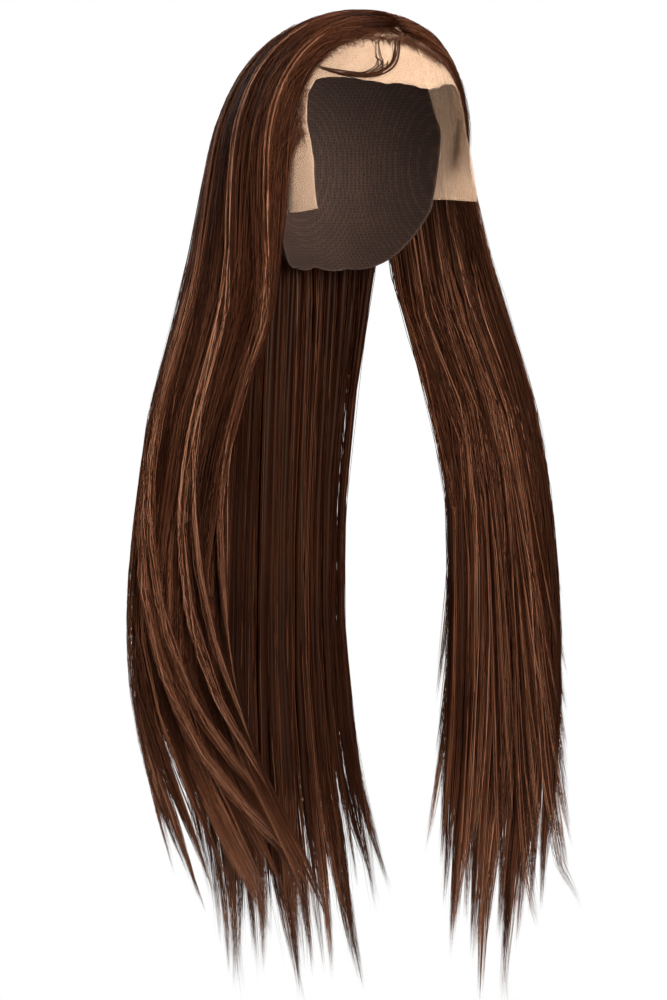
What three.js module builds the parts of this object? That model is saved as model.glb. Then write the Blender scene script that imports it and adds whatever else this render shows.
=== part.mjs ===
// A long straight lace-front wig with a centre parting: a net cap, a lace front panel, a swept forelock
// and locks of hair in an outer layer and a nape layer.
// Millimetres, +Z up. The face opening looks toward -Y, and +X is the wearer's left.
// The origin is the inside top of the cap, where the crown of the head bears.
import * as THREE from "three";

// Head that the cap fits: an ellipsoid with its top at the origin
const HEAD_HALF_WIDTH = 76;
const HEAD_HALF_LENGTH = 97;
const CROWN_HEIGHT = 114; // from the level of the greatest girth up to the top

// Walls and gaps
const CAP_WALL = 1.2;
const LACE_WALL = 1.0;
const SEAM_GAP = 0.4; // between neighbouring pieces
const FACET_RISE = 1.3; // lifts the corners of a flat facet so that its middle just clears the round cap
const HAIR_SEAT = CAP_WALL + FACET_RISE;

// Levels of the free fall of the hair, below the top of the head
const NECK_LEVEL = -235;
const SHOULDER_LEVEL = -330;
const WAIST_LEVEL = -520;

// Edge of the cap round the face opening and nape, both sides alike.
// angle: degrees from the top of the head round the front-to-back axis; y: where the cap begins
const CAP_EDGE = [
  { angle: 4, y: -36 },
  { angle: 20, y: -26 },
  { angle: 36, y: -10 },
  { angle: 52, y: 2 },
  { angle: 68, y: 2 },
  { angle: 76, y: -3 },
  { angle: 92, y: 4 },
  { angle: 108, y: 8 },
  { angle: 132, y: 32 },
  { angle: 156, y: 59 },
  { angle: 180, y: 68 },
];

// Free edge of the lace, from the wearer's right temple tab over the forehead to the left temple tab.
// angle as above, minus on the right; y: where the lace ends; flare: how far that end stands off the head
const LACE_EDGE = [
  { angle: -112, y: -33, flare: 2 },
  { angle: -92, y: -34, flare: 1 },
  { angle: -84, y: -30, flare: 0 },
  { angle: -76, y: -24, flare: 0 },
  { angle: -64, y: -19, flare: 0 },
  { angle: -57, y: -23, flare: 0 },
  { angle: -53, y: -46, flare: 0 },
  { angle: -49, y: -63, flare: 0 },
  { angle: -42, y: -75, flare: 0 },
  { angle: -28, y: -82, flare: 0 },
  { angle: -14, y: -86, flare: 0 },
  { angle: 0, y: -87, flare: 0 },
  { angle: 17, y: -85, flare: 0 },
  { angle: 34, y: -78, flare: 0 },
  { angle: 50, y: -65, flare: 0 },
  { angle: 64, y: -52, flare: 0 },
  { angle: 78, y: -41, flare: 2 },
  { angle: 92, y: -34, flare: 10 },
  { angle: 104, y: -28, flare: 18 },
];

// Swept forelock on the lace, from the parting in an S to the right temple: its middle line and its width
const FORELOCK = [
  { angle: -7, y: -56, width: 3 },
  { angle: -17, y: -66, width: 4 },
  { angle: -27, y: -71, width: 6 },
  { angle: -38, y: -70, width: 7 },
  { angle: -46, y: -64, width: 7 },
  { angle: -50, y: -55, width: 6 },
  { angle: -52, y: -44, width: 5 },
  { angle: -52, y: -30, width: 3 },
];
const FORELOCK_DEPTH = 2.2;

// Guide strands of the underside of the hair, a row for each.
// root: x and y where it leaves the cap; turn: degrees from the back of the head, plus to the left, to where it
// passes the level of greatest girth; sweep: how far it bows back on the way there; lift: its height above its
// seat at that level; body, fall: depth of the hair over it at the head and at the waist;
// neck, shoulder, waist: x and y where it passes those levels; hem: x, y and z of its end

// The wearer's right side from the front edge, then the back
const RIGHT_AND_BACK = [
  {
    root: [0, -46], turn: -95, sweep: 22, lift: 3, body: 8, fall: 10,
    neck: [-68, 36], shoulder: [-92, 62], waist: [-108, 50], hem: [-34, 40, -715],
  },
  {
    root: [0, -30], turn: -76, sweep: 16, lift: 11, body: 16, fall: 13,
    neck: [-96, 40], shoulder: [-130, 52], waist: [-146, 52], hem: [-80, 46, -730],
  },
  {
    root: [0, -10], turn: -50, sweep: 9, lift: 21, body: 19, fall: 13,
    neck: [-111, 72], shoulder: [-144, 72], waist: [-163, 74], hem: [-124, 78, -695],
  },
  {
    root: [0, 12], turn: -27, sweep: 3, lift: 24, body: 20, fall: 14,
    neck: [-72, 108], shoulder: [-100, 106], waist: [-116, 110], hem: [-92, 104, -760],
  },
  {
    root: [0, 28], turn: 0, sweep: 0, lift: 23, body: 20, fall: 14,
    neck: [-10, 123], shoulder: [-22, 126], waist: [-30, 128], hem: [-30, 120, -792],
  },
  {
    root: [0, 13], turn: 27, sweep: 3, lift: 20, body: 18, fall: 13,
    neck: [36, 118], shoulder: [24, 124], waist: [20, 127], hem: [42, 119, -800],
  },
  {
    root: [0, -8], turn: 48, sweep: 9, lift: 14, body: 14, fall: 11,
    neck: [64, 98], shoulder: [50, 112], waist: [50, 117], hem: [100, 112, -755],
  },
];

// The left side, from behind the ear to the front edge, brought forward over the shoulder
const LEFT = [
  {
    root: [0, -9], turn: 49, sweep: 9, lift: 13, body: 14, fall: 20,
    neck: [68, 40], shoulder: [84, 2], waist: [78, -16], hem: [64, -12, -720],
  },
  {
    root: [0, -28], turn: 74, sweep: 16, lift: 10, body: 13, fall: 26,
    neck: [96, 10], shoulder: [120, -16], waist: [126, -28], hem: [114, -18, -805],
  },
  {
    root: [0, -50], turn: 100, sweep: 5, lift: 8, body: 13, fall: 18,
    neck: [120, -24], shoulder: [152, -34], waist: [175, -38], hem: [182, -30, -715],
  },
];

// The under-layer at the nape, from right to left
const NAPE = [
  {
    root: [-48, 66], turn: -44, sweep: 0, lift: -0.7, body: 8, fall: 9,
    neck: [-66, 82], shoulder: [-72, 86], waist: [-78, 90], hem: [-72, 90, -765],
  },
  {
    root: [-16, 82], turn: -13, sweep: 0, lift: -0.7, body: 9, fall: 10,
    neck: [-22, 100], shoulder: [-26, 102], waist: [-30, 104], hem: [-24, 100, -792],
  },
  {
    root: [16, 82], turn: 13, sweep: 0, lift: -0.7, body: 9, fall: 10,
    neck: [22, 100], shoulder: [18, 103], waist: [16, 104], hem: [36, 100, -785],
  },
  {
    root: [48, 66], turn: 44, sweep: 0, lift: -0.7, body: 8, fall: 9,
    neck: [60, 82], shoulder: [48, 90], waist: [48, 94], hem: [88, 92, -755],
  },
];

// Cutting of the hair into locks
const LOCK_STEPS = { right: 6, back: 6, left: 6, nape: 4 };
const LOCK_GAP = 0.35; // left free at each side of a lock
const LOCK_COLUMNS = [
  { across: 0, depth: 0.8 },
  { across: 0.3, depth: 1 },
  { across: 0.7, depth: 1 },
  { across: 1, depth: 0.8 },
];
const LOCK_STATIONS = [0.03, 0.15, 0.32, 0.5, 0.68, 0.85, 1, 1.1, 1.2, 1.3, 1.4, 1.5, 1.6, 1.7, 1.8, 1.9, 2];
const LOCK_SHORTER = [0, 0.3, 0.1, 0.45]; // how much of its pointed end each lock in turn lacks
const ROOT_DEPTH = 3.5;
const LEAVES_HEAD = 0.7; // ways along a strand where the hair stands full and turns from the head's shape
const OFF_HEAD = 1.15; // to that of its own fall
const WAIST_WAY = 1.5;
const THINNED = 0.5; // share of the depth that is left at the ends
const POINT_FROM = 1.7; // where on its way a lock starts to draw in to a point
const POINT_WIDTH = 0.12;
const POINT_DEPTH = 0.2;

// Counts of facets
const CAP_AROUND = 45; // facet edges every 8 degrees, as the rows of the cap's edge
const CAP_RINGS = 8;
const LACE_ALONG = 54; // every 4 degrees
const LACE_COLUMNS = 5;
const FORELOCK_ALONG = 18;

const STEP = 0.01; // for slopes taken from neighbouring points
const radians = THREE.MathUtils.degToRad;
const mix = THREE.MathUtils.lerp;
const ease = THREE.MathUtils.smoothstep;

// A column of a table at a key between its rows, joined by straight lines
function between(table, key, at, column) {
  let i = 0;
  while (i < table.length - 2 && at > table[i + 1][key]) i += 1;
  const low = table[i];
  const high = table[i + 1];
  const share = (at - low[key]) / (high[key] - low[key]);
  return mix(low[column], high[column], THREE.MathUtils.clamp(share, 0, 1));
}

// Smooth curve through four values in a row, from the second at 0 to the third at 1
function curve(a, b, c, d, t) {
  const bend = 2 * a - 5 * b + 4 * c - d;
  const twist = 3 * b - a - 3 * c + d;
  return b + ((c - a) * t + bend * t * t + twist * t * t * t) / 2;
}

// All columns of a table of guides at a place between its rows
function guideAt(rows, place) {
  const last = rows.length - 1;
  const i = THREE.MathUtils.clamp(Math.floor(place), 0, last - 1);
  const joined = (b, c, before, after) => curve(before ?? 2 * b - c, b, c, after ?? 2 * c - b, place - i);
  const row = {};
  for (const [column, value] of Object.entries(rows[i])) {
    const next = rows[i + 1][column];
    const before = rows[i - 1]?.[column];
    const after = rows[i + 2]?.[column];
    row[column] = Array.isArray(value)
      ? value.map((part, k) => joined(part, next[k], before?.[k], after?.[k]))
      : joined(value, next, before, after);
  }
  return row;
}

// Point on the head, raised by a height, in the direction of a vector given in units of the head's half sizes
function headPoint(direction, height) {
  const d = direction.clone().normalize();
  return new THREE.Vector3(
    d.x * (HEAD_HALF_WIDTH + height),
    d.y * (HEAD_HALF_LENGTH + height),
    d.z * (CROWN_HEIGHT + height) - CROWN_HEIGHT,
  );
}

// Point on the head at an angle round the front-to-back axis and a distance back
function bandPoint(angle, y, height) {
  const along = y / HEAD_HALF_LENGTH;
  const round = Math.sqrt(Math.max(1 - along * along, 0));
  const turn = radians(angle);
  return headPoint(new THREE.Vector3(round * Math.sin(turn), along, round * Math.cos(turn)), height);
}

function headNormal(point) {
  return new THREE.Vector3(
    point.x / HEAD_HALF_WIDTH ** 2,
    point.y / HEAD_HALF_LENGTH ** 2,
    (point.z + CROWN_HEIGHT) / CROWN_HEIGHT ** 2,
  ).normalize();
}

// Way of a guide over the head, from its root at 0 to the level of greatest girth at 1
function overHead(row, way) {
  const rootX = row.root[0] / HEAD_HALF_WIDTH;
  const rootY = row.root[1] / HEAD_HALF_LENGTH;
  const root = new THREE.Vector3(rootX, rootY, Math.sqrt(1 - rootX * rootX - rootY * rootY));
  const side = new THREE.Vector3(Math.sin(radians(row.turn)), Math.cos(radians(row.turn)), 0);
  const arc = root.angleTo(side);
  const direction = root
    .multiplyScalar(Math.sin((1 - way) * arc) / Math.sin(arc))
    .addScaledVector(side, Math.sin(way * arc) / Math.sin(arc));
  direction.y += (row.sweep / HEAD_HALF_LENGTH) * Math.sin(Math.PI * way);
  return headPoint(direction, HAIR_SEAT + row.lift * way * way);
}

// Way of a guide below the head, from the level of greatest girth at 0 to its end at 1
function freeFall(row, way) {
  const start = overHead(row, 1);
  const points = [
    start,
    new THREE.Vector3(...row.neck, NECK_LEVEL),
    new THREE.Vector3(...row.shoulder, SHOULDER_LEVEL),
    new THREE.Vector3(...row.waist, WAIST_LEVEL),
    new THREE.Vector3(...row.hem),
  ];
  const reach = [0];
  for (let i = 1; i < points.length; i += 1) reach.push(reach[i - 1] + points[i].distanceTo(points[i - 1]));
  const last = points.length - 1;
  const headings = points.map((point, i) => {
    if (i === 0) return start.clone().sub(overHead(row, 1 - STEP)).normalize();
    const before = points[i - 1];
    const after = points[Math.min(i + 1, last)];
    return after.clone().sub(before).divideScalar(reach[Math.min(i + 1, last)] - reach[i - 1]);
  });
  const at = way * reach[last];
  let i = 0;
  while (i < last - 1 && at > reach[i + 1]) i += 1;
  const span = reach[i + 1] - reach[i];
  const t = (at - reach[i]) / span;
  const blend = t * t * (3 - 2 * t);
  return points[i]
    .clone()
    .lerp(points[i + 1], blend)
    .addScaledVector(headings[i], span * t * (1 - t) * (1 - t))
    .addScaledVector(headings[i + 1], -span * t * t * (1 - t));
}

// Underside of a layer of hair: place counts along its guides, way runs from 0 at the root to 2 at the end
function underside(rows, place, way) {
  const row = guideAt(rows, place);
  return way <= 1 ? overHead(row, way) : freeFall(row, way - 1);
}

function outward(rows, place, way) {
  const across = underside(rows, place + STEP, way).sub(underside(rows, place - STEP, way));
  const along = underside(rows, place, Math.min(way + STEP, 2)).sub(underside(rows, place, way - STEP));
  const sheet = across.cross(along).normalize();
  return headNormal(underside(rows, place, way)).lerp(sheet, ease(way, LEAVES_HEAD, OFF_HEAD)).normalize();
}

function hairDepth(rows, place, way) {
  const row = guideAt(rows, place);
  if (way <= 1) return mix(ROOT_DEPTH, row.body, ease(way, 0, LEAVES_HEAD));
  return mix(row.body, row.fall, ease(way, 1, WAIST_WAY)) * mix(1, THINNED, ease(way, WAIST_WAY, 2));
}

// Closed solid through cross-sections; each section lists its underside one way and its top side the other way
function loft(sections) {
  const positions = sections.flat().flatMap((p) => [p.x, p.y, p.z]);
  const count = sections[0].length;
  const faces = [];
  for (let s = 0; s < sections.length - 1; s += 1) {
    for (let k = 0; k < count; k += 1) {
      const a = s * count + k;
      const b = s * count + ((k + 1) % count);
      faces.push(a, b + count, b, a, a + count, b + count);
    }
  }
  const end = (sections.length - 1) * count;
  for (let k = 0; k < count / 2 - 1; k += 1) {
    const far = count - 1 - k;
    faces.push(k, k + 1, far, k + 1, far - 1, far);
    faces.push(end + k, end + far, end + k + 1, end + k + 1, end + far, end + far - 1);
  }
  return new THREE.BufferGeometry()
    .setAttribute("position", new THREE.Float32BufferAttribute(positions, 3))
    .setIndex(faces);
}

// Closed bowl with a wall, given its rings from the inner pole out to the edge and back to the outer pole
function bowl(rings, innerPole, outerPole) {
  const count = rings[0].length;
  const positions = [...rings.flat(), innerPole, outerPole].flatMap((p) => [p.x, p.y, p.z]);
  const first = rings.length * count;
  const end = (rings.length - 1) * count;
  const faces = [];
  for (let k = 0; k < count; k += 1) {
    const next = (k + 1) % count;
    faces.push(first, next, k, first + 1, end + k, end + next);
    for (let r = 0; r < rings.length - 1; r += 1) {
      const a = r * count + k;
      const b = r * count + next;
      faces.push(a, b, b + count, a, b + count, a + count);
    }
  }
  return new THREE.BufferGeometry()
    .setAttribute("position", new THREE.Float32BufferAttribute(positions, 3))
    .setIndex(faces);
}

function capNet() {
  const ring = (share, height) =>
    Array.from({ length: CAP_AROUND }, (_, k) => {
      const angle = -180 + (360 * k) / CAP_AROUND;
      const edge = between(CAP_EDGE, "angle", Math.abs(angle), "y");
      const y = mix(edge, HEAD_HALF_LENGTH, Math.sin((share * Math.PI) / 2));
      return bandPoint(angle, y, height);
    });
  const shares = Array.from({ length: CAP_RINGS }, (_, r) => r / CAP_RINGS);
  const inner = shares.map((share) => ring(share, 0)).reverse();
  const outer = shares.map((share) => ring(share, CAP_WALL));
  const pole = (height) => bandPoint(0, HEAD_HALF_LENGTH, height);
  return bowl([...inner, ...outer], pole(0), pole(CAP_WALL));
}

function laceFront() {
  const first = LACE_EDGE[0].angle;
  const last = LACE_EDGE[LACE_EDGE.length - 1].angle;
  const sections = Array.from({ length: LACE_ALONG + 1 }, (_, s) => {
    const angle = mix(first, last, s / LACE_ALONG);
    const seam = between(CAP_EDGE, "angle", Math.abs(angle), "y") - SEAM_GAP;
    const free = between(LACE_EDGE, "angle", angle, "y");
    const flare = between(LACE_EDGE, "angle", angle, "flare");
    const side = (height) =>
      Array.from({ length: LACE_COLUMNS }, (_, c) => {
        const share = c / (LACE_COLUMNS - 1);
        return bandPoint(angle, mix(seam, free, share), height + flare * share * share);
      });
    return [...side(0), ...side(LACE_WALL).reverse()];
  });
  return loft(sections);
}

function foreLock() {
  const path = new THREE.CatmullRomCurve3(
    FORELOCK.map((row) => bandPoint(row.angle, row.y, LACE_WALL + SEAM_GAP)),
  );
  const widths = new THREE.CatmullRomCurve3(FORELOCK.map((row) => new THREE.Vector3(row.width, 0, 0)));
  const centre = new THREE.Vector3(0, 0, -CROWN_HEIGHT);
  const half = new THREE.Vector3(HEAD_HALF_WIDTH, HEAD_HALF_LENGTH, CROWN_HEIGHT);
  const sections = Array.from({ length: FORELOCK_ALONG + 1 }, (_, s) => {
    const t = s / FORELOCK_ALONG;
    const middle = path.getPoint(t);
    const across = path.getTangent(t).cross(headNormal(middle)).normalize();
    const width = widths.getPoint(t).x;
    const side = (depth) =>
      LOCK_COLUMNS.map((column) => {
        const point = middle.clone().addScaledVector(across, width * (column.across - 0.5));
        return headPoint(point.sub(centre).divide(half), LACE_WALL + SEAM_GAP + depth * column.depth);
      });
    return [...side(0), ...side(FORELOCK_DEPTH).reverse()];
  });
  return loft(sections);
}

// One lock of a layer, between two places along its guides
function lock(rows, from, to, shorter) {
  const middle = (from + to) / 2;
  const sections = LOCK_STATIONS.map((station) => {
    const way = Math.min(station, POINT_FROM) + Math.max(station - POINT_FROM, 0) * (1 - shorter);
    const drawn = ease(station, POINT_FROM, 2);
    const spread = underside(rows, to, way).distanceTo(underside(rows, from, way));
    const width = mix(1, POINT_WIDTH, drawn) * (1 - (2 * LOCK_GAP) / spread);
    const columns = LOCK_COLUMNS.map((column) => {
      const place = middle + (mix(from, to, column.across) - middle) * width;
      const under = underside(rows, place, way);
      const depth = hairDepth(rows, place, way) * column.depth * mix(1, POINT_DEPTH, drawn);
      return { under, over: under.clone().addScaledVector(outward(rows, place, way), depth) };
    });
    return [...columns.map((c) => c.under), ...columns.map((c) => c.over).reverse()];
  });
  return loft(sections);
}

const hairMaterial = new THREE.MeshStandardMaterial({ color: 0x3b2219, roughness: 0.45, metalness: 0 });
const capMaterial = new THREE.MeshStandardMaterial({ color: 0x2a1b15, roughness: 0.9, metalness: 0 });
const laceMaterial = new THREE.MeshStandardMaterial({ color: 0xdcb995, roughness: 0.85, metalness: 0 });

const wig = new THREE.Group();
wig.name = "long_straight_wig";

function add(name, geometry, material) {
  const mesh = new THREE.Mesh(geometry, material);
  mesh.name = name;
  wig.add(mesh);
}

function addLocks(name, rows, from, to, count) {
  const step = (to - from) / count;
  for (let k = 0; k < count; k += 1) {
    const shorter = LOCK_SHORTER[k % LOCK_SHORTER.length];
    add(`${name}_lock_${k + 1}`, lock(rows, from + k * step, from + (k + 1) * step, shorter), hairMaterial);
  }
}

add("cap_net", capNet(), capMaterial);
add("lace_front", laceFront(), laceMaterial);
add("baby_hair", foreLock(), hairMaterial);
addLocks("right", RIGHT_AND_BACK, 0, 3, LOCK_STEPS.right);
addLocks("back", RIGHT_AND_BACK, 3, 6, LOCK_STEPS.back);
addLocks("left", LEFT, 0, 2, LOCK_STEPS.left);
addLocks("nape", NAPE, 0, 3, LOCK_STEPS.nape);

export default wig;
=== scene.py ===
# A long straight lace-front wig with a centre parting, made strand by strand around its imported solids.
# Metres, +Z up. The face opening looks toward -Y, and +X is the wearer's left.
# The tables of sizes are in millimetres and degrees, as the part's own source gives them.
import math
from collections import namedtuple

import bpy
import numpy as np
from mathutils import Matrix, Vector


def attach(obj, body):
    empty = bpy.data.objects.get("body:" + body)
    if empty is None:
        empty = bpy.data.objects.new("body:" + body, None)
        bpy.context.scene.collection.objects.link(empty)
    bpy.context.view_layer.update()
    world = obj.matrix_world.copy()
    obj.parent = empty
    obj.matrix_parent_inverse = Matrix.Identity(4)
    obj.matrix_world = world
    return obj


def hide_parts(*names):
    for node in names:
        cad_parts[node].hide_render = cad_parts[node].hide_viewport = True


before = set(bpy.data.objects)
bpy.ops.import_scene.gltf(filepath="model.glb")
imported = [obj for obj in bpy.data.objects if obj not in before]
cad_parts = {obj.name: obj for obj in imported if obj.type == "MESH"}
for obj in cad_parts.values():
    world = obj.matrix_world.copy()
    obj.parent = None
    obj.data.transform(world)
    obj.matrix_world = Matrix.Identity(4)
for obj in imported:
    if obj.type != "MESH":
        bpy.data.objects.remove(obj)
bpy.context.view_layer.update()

MM = 0.001
SEED = 7
LOCK_SEEDS = 100  # between the seeds of one side's locks and the next
HAIRLINE_SEED = SEED + 500
LAYER_SEED = SEED + 700

# Head that the cap fits: an ellipsoid with its top at the origin
HEAD_HALF = np.array([76.0, 97.0, 114.0])
HEAD_CENTRE = np.array([0.0, 0.0, -114.0])
HALF_LENGTH = HEAD_HALF[1]

# Walls and seats
CAP_WALL = 1.2
HAIR_SEAT = 2.5
LACE_WALL = 0.3
LACE_SEAT = 0.3  # the lace lies this high over the head
LACE_TOP = LACE_SEAT + LACE_WALL

# Levels of the free fall of the hair, below the top of the head
NECK_LEVEL = -235
SHOULDER_LEVEL = -330
WAIST_LEVEL = -520

# Edge of the cap round the face opening and nape, both sides alike: angle from the top of the head round
# the front-to-back axis, and y where the cap begins
CAP_EDGE = np.array([
    (4, -36), (20, -26), (36, -10), (52, 2), (68, 2), (76, -3), (92, 4), (108, 8), (132, 32), (156, 59),
    (180, 68),
])

# Free edge of the lace from the right temple tab to the left one: angle, y where it ends, and how far it
# stands off
LACE_EDGE = np.array([
    (-112, -33, 2), (-92, -34, 1), (-84, -30, 0), (-76, -24, 0), (-64, -19, 0), (-57, -23, 0),
    (-53, -46, 0), (-49, -63, 0), (-42, -75, 0), (-28, -82, 0), (-14, -86, 0), (0, -87, 0), (17, -85, 0),
    (34, -78, 0), (50, -65, 0), (64, -52, 0), (78, -41, 2), (92, -34, 10), (104, -28, 18),
])

# Hairline on the lace, from the right ear over the parting to the left ear: angle and y
HAIRLINE = np.array([
    (-91, -2), (-87, -7), (-85, -14), (-82, -18), (-77, -14), (-63, -12), (-53, -12), (-45, -21),
    (-35, -32), (-23, -45), (-16, -53), (-8, -57), (-3, -58), (3, -60), (9, -63), (16, -64), (26, -62),
    (38, -56), (50, -48), (60, -42), (70, -34), (80, -26), (91, -17),
])

# Swept forelock on the lace, from the parting in an S to the right temple: angle, y and width of its
# middle line
FORELOCK = np.array([
    (-7, -56, 3), (-17, -66, 4), (-27, -71, 6), (-38, -70, 7), (-46, -64, 7), (-50, -55, 6), (-52, -44, 5),
    (-52, -30, 3), (-51, -20, 2), (-50, -11, 2),
])


def guide(root, turn, sweep, lift, body, fall, neck, shoulder, waist, hem):
    """A row of a guide table.

    root: x and y where the strand leaves the cap; turn: degrees from the back of the head to where it
    passes the level of greatest girth; sweep: how far it bows back on the way there; lift: its height above
    its seat there; body, fall: depth of the hair over it at the head and at the waist; neck, shoulder,
    waist: x and y at those levels; hem: x, y and z of its end."""
    return [*root, turn, sweep, lift, body, fall, *neck, *shoulder, *waist, *hem]


ROOT_X, ROOT_Y, TURN, SWEEP, LIFT, BODY, FALL = range(7)
NECK, SHOULDER, WAIST, HEM = slice(7, 9), slice(9, 11), slice(11, 13), slice(13, 16)

# The wearer's right side from the front edge, then the back
RIGHT_AND_BACK = np.array([
    guide((0, -46), -95, 22, 3, 8, 10, (-68, 36), (-92, 62), (-108, 50), (-34, 40, -715)),
    guide((0, -30), -76, 16, 11, 16, 13, (-96, 40), (-130, 52), (-146, 52), (-80, 46, -730)),
    guide((0, -10), -50, 9, 21, 19, 13, (-111, 72), (-144, 72), (-163, 74), (-124, 78, -695)),
    guide((0, 12), -27, 3, 24, 20, 14, (-72, 108), (-100, 106), (-116, 110), (-92, 104, -760)),
    guide((0, 28), 0, 0, 23, 20, 14, (-10, 123), (-22, 126), (-30, 128), (-30, 120, -792)),
    guide((0, 13), 27, 3, 20, 18, 13, (36, 118), (24, 124), (20, 127), (42, 119, -800)),
    guide((0, -8), 48, 9, 14, 14, 11, (64, 98), (50, 112), (50, 117), (100, 112, -755)),
], float)

# The left side, from behind the ear to the front edge, brought forward over the shoulder
LEFT = np.array([
    guide((0, -9), 49, 9, 13, 14, 20, (68, 40), (84, 2), (78, -16), (64, -12, -720)),
    guide((0, -28), 74, 16, 10, 13, 26, (96, 10), (120, -16), (126, -28), (114, -18, -805)),
    guide((0, -50), 100, 5, 8, 13, 18, (120, -24), (152, -34), (175, -38), (182, -30, -715)),
], float)

# The under-layer at the nape, from right to left
NAPE = np.array([
    guide((-48, 66), -44, 0, -0.7, 8, 9, (-66, 82), (-72, 86), (-78, 90), (-72, 90, -765)),
    guide((-16, 82), -13, 0, -0.7, 9, 10, (-22, 100), (-26, 102), (-30, 104), (-24, 100, -792)),
    guide((16, 82), 13, 0, -0.7, 9, 10, (22, 100), (18, 103), (16, 104), (36, 100, -785)),
    guide((48, 66), 44, 0, -0.7, 8, 9, (60, 82), (48, 90), (48, 94), (88, 92, -755)),
], float)

# Shape of the hair along its way, from 0 at the root over 1 at the level of greatest girth to 2 at the end
ROOT_DEPTH = 3.5
LEAVES_HEAD = 0.7
OFF_HEAD = 1.15
WAIST_WAY = 1.5
THINNED = 0.5
FRONT_THIN = 0.2  # share of the hair's depth at its front edge
FRONT_WIDE = 0.35
FRONT_FILLS = (0.9, 1.4)  # ways between which the front edge gains its full depth
POINT_FROM = 1.75
SHORTER = [0, 0.15, 0.05, 0.2]  # how much of its pointed end each lock in turn lacks
SWAY_FROM = 1.5
STEP = 0.01

# Locks between two places along their guides. outside, inside: shares of the strands near those sides;
# sway, further: how far the ends of the first and the last lock go to other places, and past the hem
LockRow = namedtuple("LockRow", "side rows first last locks strands outside inside tone sway further")
LOCKS = [
    LockRow("right", RIGHT_AND_BACK, 0, 3, 6, 390, 0.8, 0.12, 0.36, (-0.45, -0.75), (0.04, 0.02)),
    LockRow("back", RIGHT_AND_BACK, 3, 6, 6, 330, 0.66, 0.26, 0.41, (0.6, 0.15), (0.02, 0.05)),
    LockRow("left", LEFT, 0, 2, 6, 400, 0.55, 0.37, 0.56, (0.0, -0.22), (0.01, 0.02)),
    LockRow("nape", NAPE, 0, 3, 4, 180, 0.2, 0.65, 0.41, (0.12, 0.0), (0.02, 0.02)),
]
LOCK_OVERLAP = 1.35  # width of a lock's strands over its own

# Form of a strand
STATIONS = np.array([0, 0.08, 0.17, 0.26, 0.35, 0.44, 0.52, 0.6, 0.68, 0.76, 0.84, 0.91, 0.96, 1])
STATION_SHIFT = 0.35  # how far its points stray from these stations, in steps between them
STRAND_HALF_WIDTH = 0.23
STRAND_HALF_DEPTH = 0.14
STRAND_CORNERS = [90, -30, -150]
ROOT_WIDTH = 0.7  # of its full width, which it has from the next share of its length on
WIDE_FROM = 0.2
TIP_WIDTH = 0.55  # of its full width, which it loses from the next share of its length on
NARROW_FROM = 0.6

# Tones of the hair, from 0, darkest, to 1, lightest, each in its own column of the colour map
TONES = 32
GOLDEN = 0.618034  # spreads the tones over the columns
TONE_ORDER = np.argsort(((np.arange(TONES) + 0.5) * GOLDEN) % 1)
TONE_MARGIN = 0.1  # left free on either side of a column

# Slim bundles side by side in a lock
CELLS = 8
CELL_SHIFT = 0.35  # of the edges between them, in their widths
CELL_FILL = 0.65  # reach of the strands to either side of a bundle's middle, in its widths
CELL_PINCH = 0.25  # how much they draw in to that middle, between these ways
CELL_PINCH_WAYS = (1.0, 1.7)
CELL_WAVES = (0.03, 0.1)  # sideways waves of the bundles, in widths of the lock
WAVE_TURN = 3.5
WAVE_WAYS = (0.4, 1.3)
CELL_TONES = (-0.14, 0.14)
CELL_RISES = (-0.12, 0.1)  # change of a bundle's height, as a share of it
RISE_WAYS = (0.2, 1.0)
BANDS = 4  # broader streaks of one tone in a lock
BAND_TONES = (-0.2, 0.17)
BAND_RISES = (-0.35, 0)

# Pointed ends of a lock
WISPS = 3
WISP_SHIFT = 0.25  # of their middles, in their widths
WISP_LACKS = [0, 0.035, 0.06]  # how much earlier each of them stops
WISP_LACKS_VARY = (0.6, 1.3)
WISP_PINCH = 0.85
WISP_LEVELS = (0.3, 0.8)  # heights of the points, in depths of the lock
WISP_LEVELLED = 0.6
WISP_CURL = 0.45  # sideways bend of a pointed end, in widths of the lock
CURL_WAYS = (1.55, 2.05)
GATHER_WAY = 0.15  # over which the strands of a wisp draw in to its point
FEATHER = 0.085  # over which the strands of a wisp end
EARLY_ASIDE = 0.4  # share of that for a strand at the side of the wisp, share at random, and the most
EARLY_RANDOM = 0.6
EARLY_POWER = 3
EARLY_MOST = 1.2

# Single strands of a lock
ROOT_WAYS = (0.0, 0.05)
OUTER_LAYER = 0.4  # shares of the lock's depth that the strands outside and those inside take up
INNER_LAYER = 0.3
STRAYS = [0.03, 0.08, 0.16]  # how far strands stray, in widths of the lock, and how many do
STRAY_CHANCES = [0.88, 0.09, 0.03]
STRAY_TURNS = (2, 5)
STRAY_PHASES = (0, 6)
STRAY_WAYS = (0.1, 0.8)
STRAY_LIFT = 0.4
STRAND_SIZES = (0.75, 1.2)
STRAND_TONE_SPREAD = 0.13
SHEEN_AND_SHADE_BY_DEPTH = 0.16  # how much lighter the strands outside the lock, and darker those deep inside it, are painted, as sheen and shade
EVEN_LEVEL = 0.7  # where that changes nothing
LIGHTER = [0, 0.16]  # a few light strands among the others
LIGHTER_CHANCES = [0.92, 0.08]

# Core of each bundle, coloured nearly black as painted shade inside the hair
CORE_SIDES = 8
CORE_ROOT = 0.02
CORE_LACKS = 0.1  # how much earlier than the strands it ends
CORE_LEVEL = 0.4
CORE_HALF_WIDTH = 0.8  # in widths of the bundle
CORE_HALF_DEPTH = 0.3  # in depths of the lock
CORE_TIP = 0.08
# painted shade: the cores take nearly the darkest tone
CORE_SHADE_TONE = 0.05

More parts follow.
